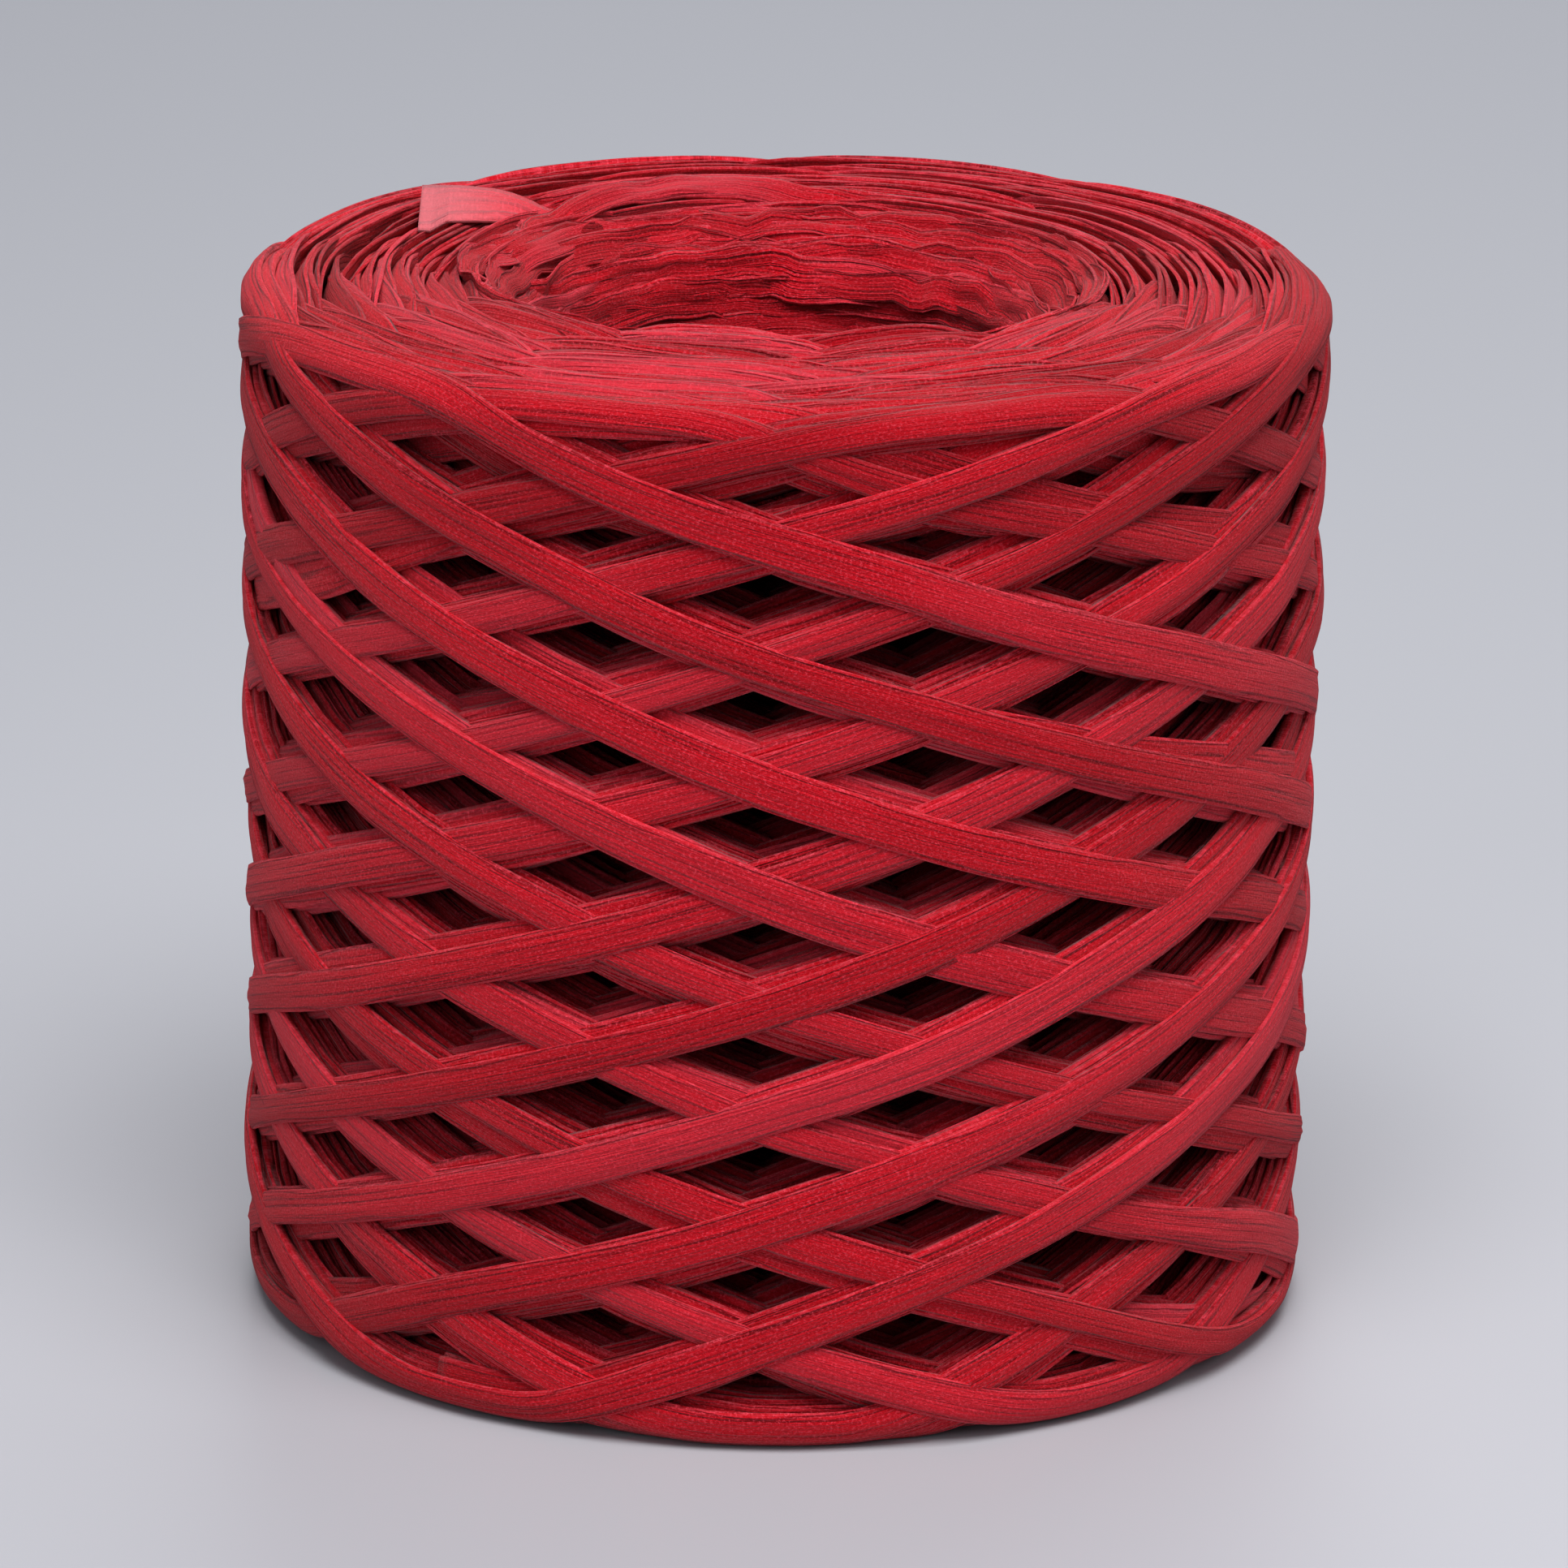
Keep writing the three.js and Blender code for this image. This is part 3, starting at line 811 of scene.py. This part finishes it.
# %% First turns
# Map rows, thickness, width and creases, and what the mouth does to the last two.
FIRST_ROWS = 12
FIRST_THICKNESS = 0.25
FIRST_HALF_WIDTH = 1.75
MOUTH_NARROWING = 0.4
FIRST_WIDTH_STRAY = 0.25
FIRST_WIDTHS = 10
FIRST_CREASE = 0.26
MOUTH_CREASE = 0.1
FIRST_CREASES = 28

# The lean in degrees, and how the tone falls further down the bore.
BORE_LEAN = -8
MOUTH_LEAN = -44
LEAN_STRAY = 10
FIRST_LEANS = 13
FIRST_TONES = 8
BORE_SHADE = 2.2
BORE_LIT = 92
BORE_FADE = 9

lean = BORE_LEAN + MOUTH_LEAN * mouth + LEAN_STRAY * LEAN_DRIFT.at(w, FIRST_LEANS)
middle, across, out = lay(np.radians(FIRST_ANGLE - w), radius, z, lean)
half = FIRST_HALF_WIDTH - MOUTH_NARROWING * mouth + FIRST_WIDTH_STRAY * WIDTH_DRIFT.at(w, FIRST_WIDTHS)
crease = (FIRST_CREASE + MOUTH_CREASE * mouth[:, None]) * creases_along(w, FIRST_CREASES)
rings = sweep(middle, across, out, half, FINE_SECTION, FIRST_THICKNESS, crease)
tone = TONE_DRIFT.at(w, FIRST_TONES) - BORE_SHADE * ease((BORE_LIT - z) / BORE_FADE)
roll_pieces.append(ring_piece("first_turns", rings, middle, tone, FIRST_ROWS))

# %% [markdown]
# ## A helper for materials
# A material is a net of small nodes. Drawn by hand it soon tangles, so sums of outputs are written as sums
# here, and one method adds every other node: its type, then its settings, then its inputs.


# %% Node helper
class Value:
    """A node's output that takes part in sums as a number does."""

    def __init__(self, graph, socket):
        self.graph = graph
        self.socket = socket

    def math(self, operation, *others):
        return self.graph.node("Math", {"operation": operation}, [self, *others])

    def __add__(self, other):
        return self.math("ADD", other)

    __radd__ = __add__

    def __mul__(self, other):
        return self.math("MULTIPLY", other)

    __rmul__ = __mul__

    def __sub__(self, other):
        return self.math("SUBTRACT", other)

    def __rsub__(self, other):
        return self.graph.node("Math", {"operation": "SUBTRACT"}, [other, self])


class Graph:
    """A material's node tree, built from one method."""

    def __init__(self, name):
        self.material = bpy.data.materials.new(name)
        self.material.use_nodes = True
        self.tree = self.material.node_tree
        self.tree.nodes.clear()

    def node(self, kind, settings=None, inputs=(), output=0):
        """Adds a node, makes its settings, fills its inputs in order or by name, and gives one output."""
        made = self.tree.nodes.new("ShaderNode" + kind)
        for key, value in (settings or {}).items():
            setattr(made, key, value)
        pairs = inputs.items() if isinstance(inputs, dict) else enumerate(inputs)
        for key, value in pairs:
            if isinstance(value, Value):
                self.tree.links.new(value.socket, made.inputs[key])
            else:
                made.inputs[key].default_value = value
        return Value(self, made.outputs[output]) if made.outputs else None

    def ramp(self, value, low, high):
        """Goes softly from 0 at low to 1 at high."""
        settings = {"interpolation_type": "SMOOTHSTEP"}
        return self.node("MapRange", settings, {"Value": value, "From Min": low, "From Max": high})

    def mix(self, factor, first, second):
        """Mixes two colours."""
        return self.node("Mix", {"data_type": "RGBA"}, {0: factor, 6: first, 7: second}, 2)

    def noise(self, x, y, z, detail, roughness):
        """Reads a noise at a point whose coordinates may be outputs."""
        point = self.node("CombineXYZ", None, [x, y, z])
        inputs = {"Vector": point, "Scale": 1.0, "Detail": detail, "Roughness": roughness}
        return self.node("TexNoise", None, inputs)


print("helpers:", Value.__name__, "and", Graph.__name__)

# %% [markdown]
# ## The grain of the paper
# Crepe paper is matte and fibrous: creases run along it, short fibres catch the light, edges wear pale.
# A flat texture picture would stretch on so long a strip. Noise that is read on the map along the ribbon
# doesn't: read with a large scale across and a small one along, it draws lines that turn with the ribbon.
# Creases are the longest, then folds and fibres, and the speckle of loose fibres is nearly round.

# %% Grain
paper = Graph("raffia_paper")
grain = paper.node("UVMap", {"uv_map": "RibbonUV"})
along = paper.node("SeparateXYZ", None, [grain], 0)
across = paper.node("SeparateXYZ", None, [grain], 1)
edge = paper.node("Attribute", {"attribute_name": "across"}, (), "Fac").math("ABSOLUTE")
tone = paper.node("Attribute", {"attribute_name": "tone"}, (), "Fac")
pit_shade = paper.node("Attribute", {"attribute_name": "pit_shade"}, (), "Fac")

creases = paper.noise(along * 0.28, across * 32, 0.0, 3.0, 0.65)
folds = paper.noise(along * 0.9, across * 9, 7.0, 1.0, 0.5)
fibres = paper.noise(along * 7, across * 80, 3.0, 2.0, 0.6)
speckle = paper.noise(along * 34, across * 44, 5.0, 3.0, 0.75)
print("grain nodes:", len(paper.tree.nodes))

# %% [markdown]
# ## The colour of the paper
# There is one dye on one paper. What varies is how the folds shade it and where the surface is rubbed.
# Creases and the fold line beside each edge get a painted shade of deep red, fibres and rubbed edges a pale
# one.
# Each stretch has a tone of its own, darkened by painted shade in the band and down the bore, and the
# unfolded inner end, with the highest tone, is given a paler, dusty pink. Last, painted shade turns whatever
# lies deep in a pit almost black.

# %% Colour
RED = (0.52, 0.003, 0.011, 1)
DEEP_RED = (0.15, 0.0, 0.002, 1)
PALE_RED = (0.78, 0.06, 0.095, 1)
DUSTY_PINK = (0.50, 0.21, 0.235, 1)
PAINTED_PIT_SHADE = (0.035, 0.0, 0.001, 1)

dark_lines = paper.ramp(creases, 0.45, 0.38)
fold_place = edge + (folds - 0.5) * 0.6
fold_line = paper.ramp(fold_place, 0.76, 0.82) * paper.ramp(fold_place, 0.90, 0.84)
worn = paper.ramp(edge, 0.75, 1.0) * paper.ramp(fibres, 0.40, 0.62)
fibrous = paper.ramp(speckle, 0.50, 0.66) * 0.8 + paper.ramp(fibres, 0.55, 0.70) * 0.15
# Painted shade: creases and the fold line beside each edge are darkened to a deep red, along with dark specks
# of grain.
painted_shade_and_speckle = dark_lines * 0.85 + fold_line * 0.7 + paper.ramp(speckle, 0.47, 0.33) * 0.45
colour = paper.mix(painted_shade_and_speckle, RED, DEEP_RED)
colour = paper.mix(fibrous * 0.8 + worn * 0.4, colour, PALE_RED)
colour = paper.mix(paper.ramp(tone, 0.0, 2.2) * 0.35, colour, PALE_RED)
colour = paper.mix(paper.ramp(tone, 0.0, -2.2) * 0.4, colour, DEEP_RED)
# The highest tones, on the unfolded inner end, are mixed towards a paler, dusty pink.
colour = paper.mix(paper.ramp(tone, 2.5, 4.0) * 0.5, colour, DUSTY_PINK)
# Painted shade: whatever lies deep in a pit is mixed almost to black.
colour = paper.mix(pit_shade * 0.92, colour, PAINTED_PIT_SHADE)
print("grain and colour nodes:", len(paper.tree.nodes))

# %% [markdown]
# ## The surface of the paper
# Paper has no gloss, only a faint velvet where its fibres stand up, which a little tinted sheen gives.
# The fine creases are a bump: cut into the mesh they would need millions of faces.

# %% Surface
relief = creases * 1.0 + folds * 0.6 - fold_line * 0.25 + fibres * 0.2 + speckle * 0.3
bump = paper.node("Bump", None, {"Strength": 0.9, "Distance": 0.0008, "Height": relief})
finish = {
    "Base Color": colour,
    "Roughness": 0.78,
    "Specular IOR Level": 0.06,
    "Sheen Weight": 0.21,
    "Sheen Roughness": 0.4,
    "Sheen Tint": (1.0, 0.55, 0.58, 1),
    "Normal": bump,
}
surface = paper.node("BsdfPrincipled", None, finish)
paper.node("OutputMaterial", None, [surface])
for piece in roll_pieces:
    piece.data.materials.append(paper.material)
print("paper nodes:", len(paper.tree.nodes))

# %% [markdown]
# ## The loose end
# The ribbon's inner end was pulled up, unfolded and laid on the top face, at the back left of the bore.
# It is a smooth strip of the same paper, cut off square, about three times as wide there as the folded
# ribbon, and it narrows to where it dives under the turns round the mouth. A plane with cloth on it would
# slide off the edges it lies on, so its two edges are given as seen from above, and a ripple grows along it.

# %% Outline of the loose end
END_STEPS = 60
END_POINTS = 9
END_PLACES = np.array([-34.3, -33.1, -32.4, -31.6, -29.9, -27.2, -24.3, -21.4, -17.0])
OUTER_EDGE = np.array([25.2, 25.3, 25.3, 25.3, 25.1, 24.0, 23.6, 23.8, 25.0])
INNER_EDGE = np.array([13.6, 13.4, 15.2, 17.2, 17.4, 17.9, 19.0, 20.4, 22.6])

x = np.linspace(END_PLACES[0], END_PLACES[-1], END_STEPS)
t = (x - x[0]) / (x[-1] - x[0])
side = np.linspace(-1, 1, END_POINTS)
inner = np.interp(x, END_PLACES, INNER_EDGE)
outer = np.interp(x, END_PLACES, OUTER_EDGE)
y = inner[:, None] + (outer - inner)[:, None] * (side + 1) / 2
print("loose end width:", round(outer[0] - inner[0], 1), "to", round(outer[-1] - inner[-1], 1))

# %% [markdown]
# It lies level at the cut, tips up a little towards the back, and goes down into the funnel at its far end.
# A second layer of points below the first makes it a closed strip, as thin as the unfolded paper.

# %% Loose end
# The height at the cut, how deep the far end dives, the tilt, the ripple, map rows, tone and seed.
END_HEIGHT = 98.5
END_DIVE = 3.4
END_TILT = 0.75
END_THICKNESS = 0.25
END_RIPPLE = 0.07
END_ROWS = 3
END_TONE = 4
END_SEED = 71

random = np.random.default_rng(END_SEED)
ripple = np.cumsum(random.normal(size=(END_STEPS, END_POINTS)), 0) * END_RIPPLE
ripple = (ripple - ripple.mean()) * ease(t * 1.5 - 0.3)[:, None]
z = END_HEIGHT - END_DIVE * ease(t * 1.6 - 0.6)[:, None] + END_TILT * side + ripple
top = np.stack([np.repeat(x[:, None], END_POINTS, 1), y, z], -1)
middle = top[:, END_POINTS // 2]
half = 0.5 * (outer - inner)
rings = np.concatenate([top, top[:, ::-1] - np.array([0, 0, END_THICKNESS])], 1)
loose_end = ring_piece("loose_end_sheet", rings, middle, END_TONE - 2 * t, END_ROWS)
loose_end.data.materials.append(paper.material)
flat_length = length_along(middle)[-1] * METRES
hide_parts("loose_end")
round(flat_length * 2 * half.mean() * METRES, 6)
print("loose end length:", round(flat_length, 4))

# %% [markdown]
# ## Riding on the solids
# The roll has no moving part, so every piece rides on its one body. The wound pieces take the place of its
# one solid, and the sheet that of the loose end, so that neither is shown twice.

# %% Ride
for piece in roll_pieces:
    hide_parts("wound_roll")
for piece in [*roll_pieces, loose_end]:
    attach(piece, "root")

# %% [markdown]
# ## The table
# The roll stands on a pale, faintly blue table top. The picture looks down on it and shows no horizon.
# A curved backdrop would do that too. A plane is enough, as long as it reaches far behind the roll.
# From here on lengths are in metres again.

# %% Table
TABLE_REACH = 3.0
TABLE_CORNERS = ((-1, -1), (1, -1), (1, 1), (-1, 1))

floor_mesh = bpy.data.meshes.new("floor")
floor_mesh.from_pydata([(TABLE_REACH * x, TABLE_REACH * y, 0) for x, y in TABLE_CORNERS], [], [(0, 1, 2, 3)])
floor = bpy.data.objects.new("floor", floor_mesh)
scene.collection.objects.link(floor)
table_top = Graph("table_top")
shader = table_top.node("BsdfPrincipled", None, {"Base Color": (0.40, 0.41, 0.45, 1), "Roughness": 0.5})
table_top.node("OutputMaterial", None, [shader])
floor_mesh.materials.append(table_top.material)
print("table top", 2 * TABLE_REACH, "m wide")

# %% [markdown]
# ## The light
# The photo was taken in a bright room, with the strongest light from above and a little in front.
# A sun lamp would cut hard shadows into the pits. Large square lamps keep their edges soft. A weaker one
# behind the roll lights its far rim, and one on either side fills the shadows. Little light comes from the
# front, so that the pits stay dark.


# %% Lights
def soft_light(name, place, size, power, tint):
    """Hangs a square lamp that looks at the roll."""
    lamp = bpy.data.lights.new(name, "AREA")
    lamp.size = size
    lamp.energy = power
    lamp.color = tint
    holder = bpy.data.objects.new(name, lamp)
    scene.collection.objects.link(holder)
    holder.location = place
    holder.rotation_euler = (TARGET - Vector(place)).to_track_quat("-Z", "Y").to_euler()


soft_light("window", (0.05, -0.45, 1.05), 0.7, 15.6, (1.0, 0.98, 0.96))
soft_light("room", (-0.6, -1.1, 0.6), 0.9, 3.0, (0.95, 0.97, 1.0))
soft_light("back", (0.2, 0.9, 0.8), 0.8, 4.0, (0.97, 0.98, 1.0))
soft_light("side", (1.1, -0.6, 0.75), 0.6, 2.6, (1.0, 0.98, 0.98))
world = bpy.data.worlds.new("room")
world.use_nodes = True
world.node_tree.nodes["Background"].inputs["Color"].default_value = (0.9, 0.93, 1.0, 1)
world.node_tree.nodes["Background"].inputs["Strength"].default_value = 0.25
scene.world = world
scene.view_settings.view_transform = "Standard"
